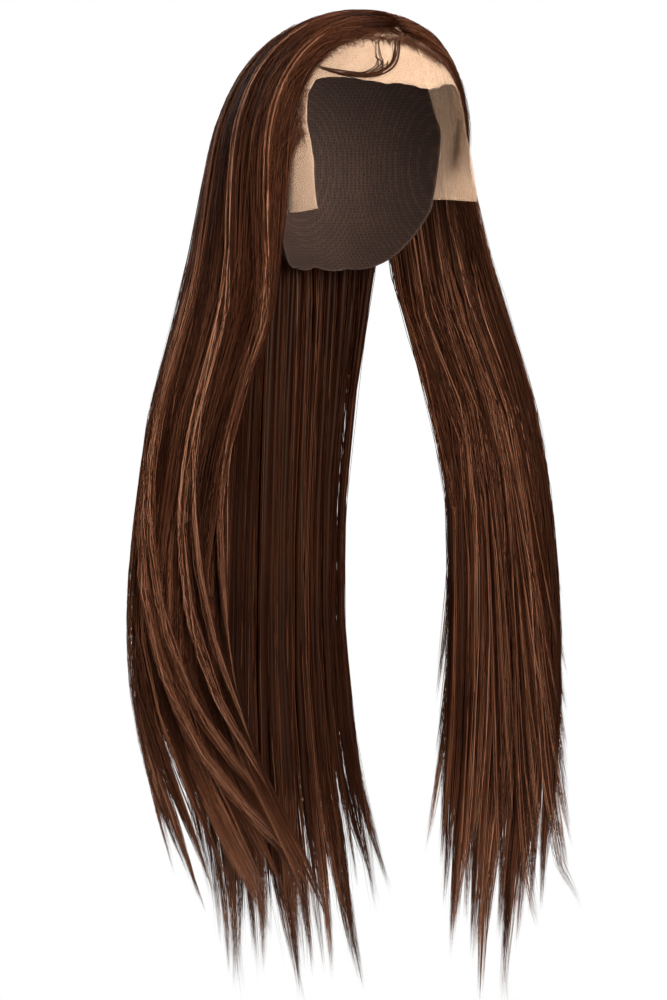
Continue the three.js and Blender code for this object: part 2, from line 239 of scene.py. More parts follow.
# Shorter wisps in layers over the locks. drift: of their place to the end, over the last drift_way;
# rise: of the end in mm, negative on the inner side of the hair; ends: the ways where the wisps end
Layer = namedtuple("Layer", "rows place half_width drift drift_way rise tone strands ends")
OUTER_ENDS = (1.62, 1.68, 1.73, 1.78, 1.83, 1.88, 1.93, 1.97, 2.01, 2.05)
LAYERS = [
    Layer(LEFT, 1.84, 0.07, 0.36, 0.26, 1, 0.42, 48, OUTER_ENDS),
    Layer(LEFT, 1.5, 0.07, 0.45, 0.36, -2, 0.38, 40, (1.66, 1.75, 1.84, 1.93)),
    Layer(LEFT, 1.1, 0.08, 0.6, 0.42, -3, 0.41, 42, (1.64, 1.73, 1.82, 1.91, 1.99)),
    Layer(LEFT, 0.72, 0.08, 0.45, 0.4, -3, 0.36, 40, (1.7, 1.8, 1.9)),
    Layer(LEFT, 0.22, 0.06, -0.4, 0.45, 0, 0.45, 40, (1.75, 1.82, 1.89, 1.95)),
    Layer(RIGHT_AND_BACK, 1.95, 0.08, 0.0, 0.4, 0, 0.45, 40, (1.68, 1.78, 1.86)),
    Layer(RIGHT_AND_BACK, 0.35, 0.07, -1.1, 0.32, 5, 0.45, 60, (1.66, 1.73)),
    Layer(RIGHT_AND_BACK, 1.1, 0.07, -1.7, 0.44, 8, 0.48, 66, (1.78, 1.86)),
    Layer(RIGHT_AND_BACK, 1.75, 0.07, -2.0, 0.47, 5, 0.48, 66, (1.86, 1.94)),
    Layer(RIGHT_AND_BACK, 5.75, 0.08, 0.28, 0.4, 0, 0.4, 40, (1.68, 1.75, 1.81, 1.87, 1.92)),
]
LAYER_FEWEST = 6
LAYER_ROOT = 0.35  # way where they begin, and how much later some of them do
LAYER_ROOT_SPREAD = 0.2
LAYER_EARLY_RANDOM = 0.7
LAYER_EARLY_POWER = 1.5
LAYER_DRAWN = 0.12  # width of a wisp at its point
LAYER_SHIFT = 0.5  # of a wisp to either side, in its half widths
DRIFT_OWN = 0.4  # how far each strand's own end, not the wisp's, ends its drift
DRIFT_POWER = 1.7
DRIFT_SHARES = (0.9, 1.0)
LAYER_LEVELS = (0.8, 1.05)
LAYER_RISE_WAYS = (1.1, 1.6)
LAYER_SIZES = (0.7, 1.1)
# Light and dark streaks across each wisp: painted sheen on its bundles and painted shade between them
LAYER_SHEEN_STREAKS = 0.28
STREAK_TURNS = (3, 6)
STREAK_PHASES = (0, 6)
LAYER_TONE_SPREAD = 0.17

# Fronts of the hair: guides, place of their edge, way inward, angles of the hairline, and strands there
FRONTS = [
    (RIGHT_AND_BACK, 0, 1, (-91, -74), 160),
    (RIGHT_AND_BACK, 0, 1, (-91, -25), 600),
    (RIGHT_AND_BACK, 0, 1, (-25, 3), 380),
    (LEFT, 2, -1, (-5, 40), 680),
    (LEFT, 2, -1, (40, 91), 380),
]
GIRTH_ANGLE = 93  # of the front edge where it passes the level of greatest girth
FRONT_POINTS = 10
FRONT_BAND = (11, -6)  # they are rooted from there behind the hairline to there before it
FRONT_LEAN = (1.5, 1.9)  # shape of their spread between the two
FRONT_AHEAD = 0.05
FRONT_LENGTHS = (0.3, 0.55)  # of the way
FRONT_PLACES = (-0.1, 0.7)
FRONT_LEVELS = (0.55, 1.05)
FRONT_SINK = 0.5  # how deep their ends go into the hair, from this share of their length on
FRONT_SINK_FROM = 0.75
FRONT_OFF_LACE = 0.6  # share of their length where they have left the lace
FRONT_SIZES = (0.5, 0.9)
FRONT_TONES = (0.1, 0.65)

# Short fine hairs that curl off the fronts
FUZZ_SHARE = 0.8  # of the number of strands there
FUZZ_POINTS = 6
FUZZ_SPREAD = 2.2
FUZZ_LENGTHS = (3, 10)
FUZZ_TURNS = (-70, 70)
FUZZ_RISES = (0.3, 2.5)
FUZZ_ARCH = 0.6
FUZZ_SIZES = (0.4, 0.8)
FUZZ_TONES = (0.25, 0.75)
SHORT_MAP = (0.1, 0.6)  # places of short hairs along the colour map

# Bundles of the forelock: how many, strands in each, rows of its table that they start and end at, how far
# to the hairline's side they start, and size. Each group of three is the lowest and highest value for a
# bundle, and how far its strands differ from it.
FORELOCK_BUNDLES = [
    (5, 6, (0, 0.3, 0.1), (7, 9, 0.3), (-0.5, 0.5, 0.4), 0.75),
    (12, 3, (0.2, 2.8, 0.1), (3.2, 7.5, 0.3), (3, 17, 0.4), 0.8),
]
FORELOCK_POINTS = 18
FORELOCK_LIFTS = (0.4, 2.0, 0.15)
FORELOCK_TURNS = (0.5, 1.1, 0.03)
FORELOCK_PHASES = (0, 1, 0.02)
FORELOCK_SIDES = (-0.5, 0.5, 0.07)
FORELOCK_WAVE = 0.25  # in widths of the forelock
FORELOCK_JOINED = 0.75  # share of the length where strands from the side have joined it
FORELOCK_LOWEST = 0.05
FORELOCK_TONES = (0.05, 0.5)
FORELOCK_SIZES = (0.8, 1.2)

# The two sheets
CAP_AROUND = 120
CAP_RINGS = 48
CAP_LAST_RING = 0.985  # share of the way to the back of the head, where a face closes the cap
CAP_DISC_MAP = 0.02  # size of that face on the map
LACE_ALONG = 162
LACE_COLUMNS = 20
LACE_PITCH = 0.9  # between the holes of the lace
LACE_MAP = 400.0  # length of lace that the map's unit stands for
LACE_MAP_START = (250, 150)
LACE_MAP_UNDER = (0.0, 0.5)  # where the underside lies on the map, beside the upper side
LACE_MAP_SIDE = (0.002, 0.0)
LACE_WAVE = 4 * math.pi / math.sqrt(3) / LACE_PITCH * LACE_MAP

# How much lighter or darker, about 0.5, the hair is from its root to its end: darker at the root, and
# lighter at the end as painted light through the thin ends
ROOT_TONE_AND_TIP_LIGHT = [(0.0, (0.25,) * 3), (0.12, (0.5,) * 3), (0.86, (0.5,) * 3), (1.0, (0.74,) * 3)]

# Colours of the hair by tone, and of the sheets
HAIR_COLOURS = [
    (0.0, (0.005, 0.0011, 0.0004)),
    (0.2, (0.010, 0.0026, 0.0010)),
    (0.4, (0.026, 0.0072, 0.0029)),
    (0.7, (0.088, 0.0315, 0.0150)),
    (1.0, (0.230, 0.1040, 0.0590)),
]
UNEVEN_ACROSS = 3.7  # how fast the hair's tone changes from column to column and along it, and how much
UNEVEN_ALONG = 9
UNEVEN_TONE = 0.5
CAP_COLOURS = [(0.05, (0.034, 0.016, 0.009)), (0.22, (0.010, 0.0043, 0.0025))]
LACE_COLOURS = [(0.3, (0.50, 0.31, 0.19)), (0.7, (0.60, 0.40, 0.26))]

# Floor, in metres
FLOOR_LEVEL = -0.83
FLOOR_RADIUS = 1.8
FLOOR_SIDES = 96
FLOOR_COLOUR = (0.96, 0.96, 0.96, 1)

# Camera: degrees round from the face opening and above the horizon, distance, half of the height that it
# sees there, and the point at the image's middle: its level, and how far to the right it lies
VIEW_SENSOR = 36  # mm
VIEW_AZIMUTH = -35
VIEW_ELEVATION = 2
VIEW_DISTANCE = 2.6
VIEW_HALF_HEIGHT = 0.4
VIEW_LEVEL = -0.384
VIEW_ASIDE = -0.0244

# Lamps: name, azimuth, elevation, distance, size, watts
LIGHTS = [
    ("key", -75, 38, 2.2, 1.0, 44),
    ("fill", 0, 16, 2.4, 1.2, 165),
    ("top", 0, 88, 2.6, 1.6, 48),
    ("back_left", 140, 35, 2.2, 1.0, 35),
    ("back_right", -150, 35, 2.2, 1.0, 35),
]
AMBIENT = 0.07
WHITE = (1, 1, 1, 1)

# Fewer strands in a trial run
STRAND_SHARE = 1.0


def ease(low, high, x):
    """Smooth step from 0 at low to 1 at high."""
    t = np.clip((x - low) / (high - low), 0, 1)
    return t * t * (3 - 2 * t)


def mix(a, b, share):
    return a + (b - a) * share


def unit(v):
    return v / np.maximum(np.linalg.norm(v, axis=-1, keepdims=True), 1e-12)


def head_point(direction, height):
    """Points on the head, raised by a height, toward vectors given in units of the head's half sizes."""
    return unit(direction) * (HEAD_HALF + np.asarray(height)[..., None]) + HEAD_CENTRE


def band_point(angle, y, height):
    """Points on the head at an angle round the front-to-back axis and a distance back."""
    along = np.asarray(y) / HALF_LENGTH
    around = np.sqrt(np.maximum(1 - along**2, 0))
    turn = np.radians(angle)
    return head_point(np.stack([around * np.sin(turn), along, around * np.cos(turn)], axis=-1), height)


def head_normal(points):
    return unit((points - HEAD_CENTRE) / HEAD_HALF**2)


def smooth_rows(table, place):
    """Every column of a table at places between its rows, on a smooth curve through them."""
    padded = np.vstack([2 * table[0] - table[1], table, 2 * table[-1] - table[-2]])
    i = np.clip(np.floor(place).astype(int), 0, len(table) - 2)
    t = (place - i)[:, None]
    a, b, c, d = (padded[i + k] for k in range(4))
    return b + ((c - a) * t + (2 * a - 5 * b + 4 * c - d) * t**2 + (3 * b - a - 3 * c + d) * t**3) / 2


def over_head(row, way):
    """Way of guides over the head, from their roots at 0 to the level of greatest girth at 1."""
    root_x = row[:, ROOT_X] / HEAD_HALF[0]
    root_y = row[:, ROOT_Y] / HALF_LENGTH
    root = np.column_stack([root_x, root_y, np.sqrt(1 - root_x**2 - root_y**2)])
    turn = np.radians(row[:, TURN])
    side = np.column_stack([np.sin(turn), np.cos(turn), np.zeros_like(turn)])
    arc = np.arccos(np.sum(root * side, axis=1))
    near = np.sin((1 - way) * arc) / np.sin(arc)
    far = np.sin(way * arc) / np.sin(arc)
    direction = root * near[:, None] + side * far[:, None]
    direction[:, 1] += row[:, SWEEP] / HALF_LENGTH * np.sin(np.pi * way)
    return head_point(direction, HAIR_SEAT + row[:, LIFT] * way**2)


def free_fall(row, way):
    """Way of guides below the head, from the level of greatest girth at 0 to their ends at 1."""
    count = len(row)
    start = over_head(row, np.ones(count))
    before = over_head(row, np.full(count, 1 - STEP))
    levels = [(NECK, NECK_LEVEL), (SHOULDER, SHOULDER_LEVEL), (WAIST, WAIST_LEVEL)]
    passed = [np.column_stack([row[:, columns], np.full(count, z)]) for columns, z in levels]
    knots = np.stack([start, *passed, row[:, HEM]], axis=1)
    spans = np.linalg.norm(np.diff(knots, axis=1), axis=2)
    reach = np.concatenate([np.zeros((count, 1)), np.cumsum(spans, axis=1)], axis=1)
    headings = np.empty_like(knots)
    headings[:, 0] = unit(start - before)
    headings[:, 1:-1] = (knots[:, 2:] - knots[:, :-2]) / (reach[:, 2:] - reach[:, :-2])[..., None]
    headings[:, -1] = (knots[:, -1] - knots[:, -2]) / spans[:, -1:]
    at = way * reach[:, -1]
    i = np.sum(at[:, None] > reach[:, 1:-1], axis=1)
    pick = np.arange(count)
    span = spans[pick, i]
    t = (at - reach[pick, i]) / span
    joined = mix(knots[pick, i], knots[pick, i + 1], (t * t * (3 - 2 * t))[:, None])
    leave = (span * t * (1 - t) ** 2)[:, None] * headings[pick, i]
    arrive = (span * t * t * (1 - t))[:, None] * headings[pick, i + 1]
    return joined + leave - arrive


def underside(rows, place, way):
    """Underside of a layer of hair, for flat arrays of places along its guides and ways along them."""
    row = smooth_rows(rows, place)
    points = np.empty((len(place), 3))
    high = way <= 1
    points[high] = over_head(row[high], way[high])
    points[~high] = free_fall(row[~high], way[~high] - 1)
    return points


def hair_surface(rows, place, way):
    """Points of the underside of a layer, its outward directions and the depth of the hair over it."""
    place, way = np.broadcast_arrays(np.asarray(place, float), np.asarray(way, float))
    shape = place.shape
    place, way = place.ravel(), way.ravel()
    points = underside(rows, place, way)
    across = underside(rows, place + STEP, way) - underside(rows, place - STEP, way)
    ahead = underside(rows, place, np.minimum(way + STEP, 2))
    behind = underside(rows, place, np.maximum(way - STEP, 0))
    sheet = unit(np.cross(across, ahead - behind))
    outward = unit(mix(head_normal(points), sheet, ease(LEAVES_HEAD, OFF_HEAD, way)[:, None]))
    row = smooth_rows(rows, place)
    body, fall = row[:, BODY], row[:, FALL]
    over = mix(ROOT_DEPTH, body, ease(0, LEAVES_HEAD, way))
    below = mix(body, fall, ease(1, WAIST_WAY, way)) * mix(1, THINNED, ease(WAIST_WAY, 2, way))
    depth = np.where(way <= 1, over, below) * front_slope(rows, place, way)
    return points.reshape(*shape, 3), outward.reshape(*shape, 3), depth.reshape(shape)


def front_slope(rows, place, way):
    """How much of its full depth the hair has near its front edge, where it thins out over the head."""
    if rows is NAPE:
        return 1.0
    edge = 0 if rows is RIGHT_AND_BACK else len(LEFT) - 1
    slope = mix(FRONT_THIN, 1, ease(0, FRONT_WIDE, np.abs(place - edge)))
    return mix(slope, 1, ease(*FRONT_FILLS, way))


def add_object(name, data):
    piece = bpy.data.objects.new(name, data)
    bpy.context.scene.collection.objects.link(piece)
    return piece


class Shell:
    """Vertices, faces and map places of a mesh, gathered in arrays before it is made."""

    def __init__(self):
        self.points, self.corners, self.sizes, self.maps = [], [], [], []
        self.count = 0

    def add(self, points, *groups):
        """points (n, 3) in mm; each group is faces (f, k) into them and their corners' maps (f, k, 2)."""
        for faces, maps in groups:
            self.corners.append((faces + self.count).ravel())
            self.sizes.append(np.full(len(faces), faces.shape[1]))
            self.maps.append(maps.reshape(-1, 2))
        self.points.append(points)
        self.count += len(points)

    def add_tubes(self, rings, tips, left, right, along):
        """Closed tubes: rings (s, m, k, 3) from the root on, tips (s, 3), the left and right edges of their
        columns of the map (s,) and their places along it (s, m + 1)."""
        tubes, stations, sides, _ = rings.shape
        each = stations * sides + 1
        points = np.concatenate([rings.reshape(tubes, -1, 3), tips[:, None]], axis=1)
        first = (np.arange(tubes) * each)[:, None, None]
        station = np.arange(stations - 1)[None, :, None] * sides
        side = np.arange(sides)[None, None, :]
        following = (side + 1) % sides
        a, b = first + station + side, first + station + following
        walls = np.stack([a, b, b + sides, a + sides], axis=-1).reshape(-1, 4)
        last = first[:, 0] + (stations - 1) * sides
        tip = np.broadcast_to(first[:, 0] + each - 1, (tubes, sides))
        ends = np.stack([last + side[0], last + following[0], tip], axis=-1).reshape(-1, 3)
        roots = first[:, 0] + np.arange(sides)[::-1]
        u0 = (left[:, None] + (right - left)[:, None] * np.arange(sides) / sides)[:, None, :]
        u1 = u0 + ((right - left) / sides)[:, None, None]
        low, high = along[:, :-2, None], along[:, 1:-1, None]
        wall_maps = stack_maps((u0, low), (u1, low), (u1, high), (u0, high))
        low, high = along[:, -2:-1], along[:, -1:]
        end_maps = stack_maps((u0[:, 0], low), (u1[:, 0], low), ((u0 + u1)[:, 0] / 2, high))
        turn = -2 * np.pi * np.arange(sides) / sides
        reach = ((right - left) / 2)[:, None]
        root_u = left[:, None] + reach * (1 + np.cos(turn))
        root_v = along[:, :1] + reach * (1 + np.sin(turn))
        root_maps = np.stack([root_u, root_v], axis=-1)
        self.add(points.reshape(-1, 3), (walls, wall_maps), (ends, end_maps), (roots, root_maps))

    def make(self, name, material):
        mesh = bpy.data.meshes.new(name)
        points = np.concatenate(self.points) * MM
        corners = np.concatenate(self.corners)
        sizes = np.concatenate(self.sizes)
        mesh.vertices.add(len(points))
        mesh.vertices.foreach_set("co", points.ravel())
        mesh.loops.add(len(corners))
        mesh.loops.foreach_set("vertex_index", corners.astype(np.int32))
        mesh.polygons.add(len(sizes))
        mesh.polygons.foreach_set("loop_start", (np.cumsum(sizes) - sizes).astype(np.int32))
        layer = mesh.uv_layers.new(name="OFBake")
        layer.data.foreach_set("uv", np.concatenate(self.maps).ravel())
        mesh.update(calc_edges=True)
        mesh.validate()
        mesh.shade_smooth()
        mesh.materials.append(material)
        return add_object(name, mesh)


def stack_maps(*places):
    """Map places of the corners of faces, from (u, v) pairs of arrays that spread to one shape."""
    pairs = [np.stack(np.broadcast_arrays(u, v), axis=-1) for u, v in places]
    return np.stack(pairs, axis=-2)


def tone_columns(tone):
    """The map's columns, left and right edge, whose colour has a tone from 0, darkest, to 1, lightest."""
    column = TONE_ORDER[np.clip((tone * TONES).astype(int), 0, TONES - 1)]
    return (column + TONE_MARGIN) / TONES, (column + 1 - TONE_MARGIN) / TONES


def add_strands(shell, paths, outward, size, tone, along):
    """Closed three-sided hairs along paths (s, m, 3), flat to the surface that outward (s, m, 3) leaves,
    with their sizes and tones (s,) and their places along the map (s, m)."""
    heading = unit(np.gradient(paths, axis=1))
    across = unit(np.cross(heading, outward))
    up = np.cross(across, heading)
    stations = paths.shape[1] - 1
    t = np.linspace(0, 1, stations + 1)[None, :-1]
    taper = mix(ROOT_WIDTH, 1, ease(0, WIDE_FROM, t)) * mix(1, TIP_WIDTH, ease(NARROW_FROM, 1, t))
    turns = np.radians(STRAND_CORNERS)
    half_width, half_depth = STRAND_HALF_WIDTH * size, STRAND_HALF_DEPTH * size
    wide = (half_width[:, None] * taper)[..., None, None] * np.cos(turns)[:, None]
    tall = (half_depth[:, None] * taper)[..., None, None] * np.sin(turns)[:, None]
    rings = paths[:, :-1, None] + wide * across[:, :-1, None] + tall * up[:, :-1, None]
    left, right = tone_columns(tone)
    shell.add_tubes(rings, paths[:, -1], left, right, along)


def station_ways(start, end, rng):
    """Ways of the points of strands from start (s,) to end (s,), a little different on each strand."""
    steps = np.diff(STATIONS)
    room = STATION_SHIFT * np.minimum(steps[:-1], steps[1:])
    shift = np.zeros((len(start), len(STATIONS)))
    shift[:, 1:-1] = rng.uniform(-1, 1, (len(start), len(room))) * room
    return start[:, None] + (end - start)[:, None] * (STATIONS + shift)


class Lock:
    """How one lock of hair lies: slim bundles side by side, gathered into a few pointed ends."""

    def __init__(self, row, k, rng):
        step = (row.last - row.first) / row.locks
        at = k / (row.locks - 1)
        self.row = row
        self.first, self.last = row.first + k * step, row.first + (k + 1) * step
        self.sway = mix(*row.sway, at)
        reach = 2 + mix(*row.further, at) - (2 - POINT_FROM) * SHORTER[k % len(SHORTER)]
        self.wisp_middle = (np.arange(WISPS) + 0.5 + rng.uniform(-WISP_SHIFT, WISP_SHIFT, WISPS)) / WISPS
        self.wisp_end = reach - rng.permutation(WISP_LACKS) * rng.uniform(*WISP_LACKS_VARY, WISPS)
        self.wisp_level = rng.uniform(*WISP_LEVELS, WISPS)
        self.wisp_curl = rng.uniform(-WISP_CURL, WISP_CURL, WISPS)
        inner_edges = np.arange(1, CELLS) + rng.uniform(-CELL_SHIFT, CELL_SHIFT, CELLS - 1)
        edges = np.concatenate([[0], inner_edges, [CELLS]]) / CELLS
        self.cell_middle = (edges[1:] + edges[:-1]) / 2
        self.cell_width = np.diff(edges)
        band = np.arange(CELLS) * BANDS // CELLS
        self.cell_tone = row.tone + rng.uniform(*BAND_TONES, BANDS)[band] + rng.uniform(*CELL_TONES, CELLS)
        self.cell_rise = rng.uniform(*BAND_RISES, BANDS)[band] + rng.uniform(*CELL_RISES, CELLS)
        self.cell_phase = rng.uniform(0, 2 * np.pi, CELLS)
        self.cell_wave = rng.uniform(*CELL_WAVES, CELLS)

    def nearest_wisp(self, across):
        return np.argmin(np.abs(across[:, None] - self.wisp_middle), axis=1)

    def lay(self, across, share, cell, way):
        """Where strands lie across the lock and through its depth at their ways (s, m) along it."""
        wisp = self.nearest_wisp(across)
        drawn = ease(-GATHER_WAY, 0, way - self.wisp_end[wisp][:, None])
        pinched = CELL_PINCH * ease(*CELL_PINCH_WAYS, way)
        place = mix(across[:, None], self.cell_middle[cell][:, None], pinched)
        place = mix(place, self.wisp_middle[wisp][:, None], WISP_PINCH * drawn)
        wave = self.cell_wave[cell][:, None] * np.sin(WAVE_TURN * way + self.cell_phase[cell][:, None])
        place = place + wave * ease(*WAVE_WAYS, way)
        level = share[:, None] * (1 + self.cell_rise[cell][:, None] * ease(*RISE_WAYS, way))
        level = mix(level, self.wisp_level[wisp][:, None], WISP_LEVELLED * drawn)
        place = place + self.wisp_curl[wisp][:, None] * ease(*CURL_WAYS, way) ** 2
        return place, level

    def surface(self, place, level, way):
        """Points and outward directions at places across a lock, levels of its depth and ways along it."""
        along = mix(self.first, self.last, place) + self.sway * ease(SWAY_FROM, 2, way)
        points, outward, depth = hair_surface(self.row.rows, along, way)
        return points + outward * (depth * level)[..., None], outward

    def add_hairs(self, shell, rng):
        """The lock's strands, with shares of them near its outer and inner side."""
        count = max(int(self.row.strands * STRAND_SHARE), CELLS)
        cell = np.arange(count) % CELLS
        across = self.cell_middle[cell] + self.cell_width[cell] * rng.uniform(-CELL_FILL, CELL_FILL, count)
        across = mix(0.5, across, LOCK_OVERLAP)
        pick = rng.uniform(0, 1, count)
        near = rng.uniform(0, 1, count)
        inner = np.where(pick > 1 - self.row.inside, INNER_LAYER * near, near)
        share = np.where(pick < self.row.outside, 1 - OUTER_LAYER * near, inner)
        wisp = self.nearest_wisp(across)
        off = np.abs(across - self.wisp_middle[wisp]) * 2 * WISPS
        early = EARLY_ASIDE * off + EARLY_RANDOM * rng.uniform(0, 1, count) ** EARLY_POWER
        end = self.wisp_end[wisp] - FEATHER * np.clip(early, 0, EARLY_MOST)
        way = station_ways(rng.uniform(*ROOT_WAYS, count), end, rng)
        place, level = self.lay(across, share, cell, way)
        loose = rng.choice(STRAYS, (count, 1), p=STRAY_CHANCES)
        bend = rng.uniform(*STRAY_TURNS, (count, 1)) * way + rng.uniform(*STRAY_PHASES, (count, 1))
        stray = rng.normal(0, 1, (count, 1)) * loose * np.sin(bend) * ease(*STRAY_WAYS, way)
        paths, outward = self.surface(place + stray, level + STRAY_LIFT * np.abs(stray), way)
        size = rng.uniform(*STRAND_SIZES, count)
        light = rng.choice(LIGHTER, count, p=LIGHTER_CHANCES)
        # Painted sheen and shade: strands deep in the lock are darker, those outside lighter.
        tone = self.cell_tone[cell] + SHEEN_AND_SHADE_BY_DEPTH * (share - EVEN_LEVEL)
        tone = tone + rng.normal(0, STRAND_TONE_SPREAD, count) + light
        add_strands(shell, paths, outward, size, tone, way / 2)

    def add_cores(self, shell):
        """A slim tube in each bundle, painted nearly black as the shade inside the hair, so that nothing
        shows through between its strands.
        """
        cell = np.arange(CELLS)
        middle = mix(0.5, self.cell_middle, LOCK_OVERLAP)
        end = self.wisp_end[self.nearest_wisp(middle)] - CORE_LACKS
        way = end[:, None] * STATIONS + CORE_ROOT * (1 - STATIONS)
        place, level = self.lay(middle, np.full(CELLS, CORE_LEVEL), cell, way)
        slim = mix(1, CORE_TIP, ease(-GATHER_WAY, 0, way - end[:, None]))[:, :-1, None]
        turn = -2 * np.pi * np.arange(CORE_SIDES) / CORE_SIDES
        half_width = CORE_HALF_WIDTH * self.cell_width[:, None, None]
        ring_place = place[:, :-1, None] + half_width * slim * np.cos(turn)
        ring_level = level[:, :-1, None] + CORE_HALF_DEPTH * slim * np.sin(turn)
        ring_way = np.broadcast_to(way[:, :-1, None], ring_place.shape)
        rings, _ = self.surface(ring_place, ring_level, ring_way)
        tips, _ = self.surface(place[:, -1], level[:, -1], way[:, -1])
        # The cores are painted nearly black as the shade inside the bundle.
        left, right = tone_columns(np.full(CELLS, CORE_SHADE_TONE))
        shell.add_tubes(rings, tips, left, right, way / 2)


def add_wisp(shell, rng, layer, end_way):
    """One wisp of a row of layers, whose last strands end at a way."""
    count = max(int(layer.strands * STRAND_SHARE), LAYER_FEWEST)
    spread = rng.uniform(-1, 1, count)
    early = EARLY_ASIDE * np.abs(spread)
    early = early + LAYER_EARLY_RANDOM * rng.uniform(0, 1, count) ** LAYER_EARLY_POWER
    end = end_way - FEATHER * np.clip(early, 0, 1)
    way = station_ways(LAYER_ROOT + rng.uniform(0, LAYER_ROOT_SPREAD, count), end, rng)
    drawn = ease(-GATHER_WAY, 0, way - end_way)
    across = layer.half_width * spread[:, None] * mix(1, LAYER_DRAWN, drawn)
    across = across + rng.uniform(-LAYER_SHIFT, LAYER_SHIFT) * layer.half_width
    drifted = mix(end_way, end, DRIFT_OWN)[:, None]
    swing = np.clip((way - drifted) / layer.drift_way + 1, 0, 1) ** DRIFT_POWER
    place = layer.place + across + layer.drift * rng.uniform(*DRIFT_SHARES, count)[:, None] * swing
    points, outward, depth = hair_surface(layer.rows, place, way)
    level = rng.uniform(*LAYER_LEVELS, count)[:, None]
    if layer.rise < 0:
        level = 1 - level
    over = depth * level + layer.rise * ease(*LAYER_RISE_WAYS, way)
    paths = points + outward * over[..., None]
    size = rng.uniform(*LAYER_SIZES, count)
    # Painted sheen and shade: light and dark streaks across the wisp.
    streaks = LAYER_SHEEN_STREAKS * np.sin(rng.uniform(*STREAK_TURNS) * spread + rng.uniform(*STREAK_PHASES))
    tone = layer.tone + streaks + rng.normal(0, LAYER_TONE_SPREAD, count)
    add_strands(shell, paths, outward, size, tone, way / 2)


def layers_piece(material):
    """Shorter wisps that lie over the locks, swing across them and leave their edges."""
    rng = np.random.default_rng(LAYER_SEED)
    shell = Shell()
    for layer in LAYERS:
        for end_way in layer.ends:
            add_wisp(shell, rng, layer, end_way)
    return shell.make("hair_layers", material)


class Graph:
    """The nodes of a material or world, with short ways to add and join them."""

    def __init__(self, owner):
        owner.use_nodes = True
        self.nodes, self.links = owner.node_tree.nodes, owner.node_tree.links

    def fill(self, node, inputs):
        """Links inputs of a node, by name or number, to sockets, or sets them to values."""
        for name, value in inputs.items():
            if isinstance(value, bpy.types.NodeSocket):
                self.links.new(value, node.inputs[name])
            else:
                node.inputs[name].default_value = value

    def add(self, kind, inputs):
        node = self.nodes.new("ShaderNode" + kind)
        self.fill(node, inputs)
        return node

    def math(self, operation, *values):
        """A Math node on sockets and numbers; gives its output."""
        node = self.add("Math", dict(enumerate(values)))
        node.operation = operation
        return node.outputs[0]

    def ramp(self, socket, stops):
        """A colour ramp through (place, colour) stops; gives its colour output."""
        node = self.add("ValToRGB", {"Fac": socket})
        points = node.color_ramp.elements
        while len(points) < len(stops):
            points.new(0.5)
        for point, (place, colour) in zip(points, stops):
            point.position = place
            point.color = (*colour, 1)
        return node.outputs["Color"]

    def map_place(self):
        """The place on the map, whole and in its two directions."""
        node = self.nodes.new("ShaderNodeUVMap")
        node.uv_map = "OFBake"
        place = node.outputs["UV"]
        split = self.add("SeparateXYZ", {0: place})
        return place, split.outputs["X"], split.outputs["Y"]


def new_material(name):
    material = bpy.data.materials.new(name)
    graph = Graph(material)
    return material, graph, graph.nodes["Principled BSDF"]


def hair_material():
    """Chestnut hair: each column of the map is one tone, darker at the root, and lighter to the end as
    painted light through the thin ends.
    """
    material, graph, shader = new_material("hair")
    _, map_u, map_v = graph.map_place()
    column = graph.math("FLOOR", graph.math("MULTIPLY", map_u, TONES))
    centre = graph.math("ADD", column, 0.5)
    tone = graph.math("FRACT", graph.math("MULTIPLY", centre, GOLDEN))
    across = graph.math("MULTIPLY", centre, UNEVEN_ACROSS)
    along = graph.math("MULTIPLY", map_v, UNEVEN_ALONG)
    streak_place = graph.add("CombineXYZ", {"X": across, "Y": along})
    noise = graph.add("TexNoise", {"Scale": 1, "Detail": 1, "Vector": streak_place.outputs[0]})
    streak = noise.outputs["Fac"]
    uneven = graph.math("MULTIPLY", graph.math("SUBTRACT", streak, 0.5), UNEVEN_TONE)
    # Darker at the root, and lighter at the end as painted light through the thin ends.
    rooted = graph.ramp(map_v, ROOT_TONE_AND_TIP_LIGHT)
    shifted = graph.math("ADD", graph.math("ADD", tone, uneven), rooted)
    colour = graph.ramp(graph.math("SUBTRACT", shifted, 0.5), HAIR_COLOURS)
    roughness = graph.add("MapRange", {"Value": streak, "To Min": 0.3, "To Max": 0.48})
    graph.fill(shader, {
        "Base Color": colour,
        "Roughness": roughness.outputs["Result"],
        "Specular IOR Level": 0.04,
        "Specular Tint": (1.0, 0.72, 0.52, 1),
    })
    return material


def cap_material():
    """Dark stretch net: fine threads round darker holes."""
    material, graph, shader = new_material("cap_net")
    place = graph.nodes.new("ShaderNodeTexCoord").outputs["Object"]
    net = graph.nodes.new("ShaderNodeTexVoronoi")
    net.feature = "DISTANCE_TO_EDGE"
    graph.fill(net, {"Scale": 420, "Randomness": 0.35, "Vector": place})
    distance = net.outputs["Distance"]
    cloud = graph.add("TexNoise", {"Scale": 60, "Vector": place})
    uneven = graph.math("MULTIPLY", cloud.outputs["Fac"], 0.12)
    colour = graph.ramp(graph.math("ADD", distance, uneven), CAP_COLOURS)
    bump = graph.add("Bump", {"Strength": 0.6, "Distance": 0.0006, "Height": distance})
    bump.invert = True
    graph.fill(shader, {
        "Base Color": colour,
        "Normal": bump.outputs["Normal"],
        "Roughness": 0.85,
        "Specular IOR Level": 0.2,
    })
    return material


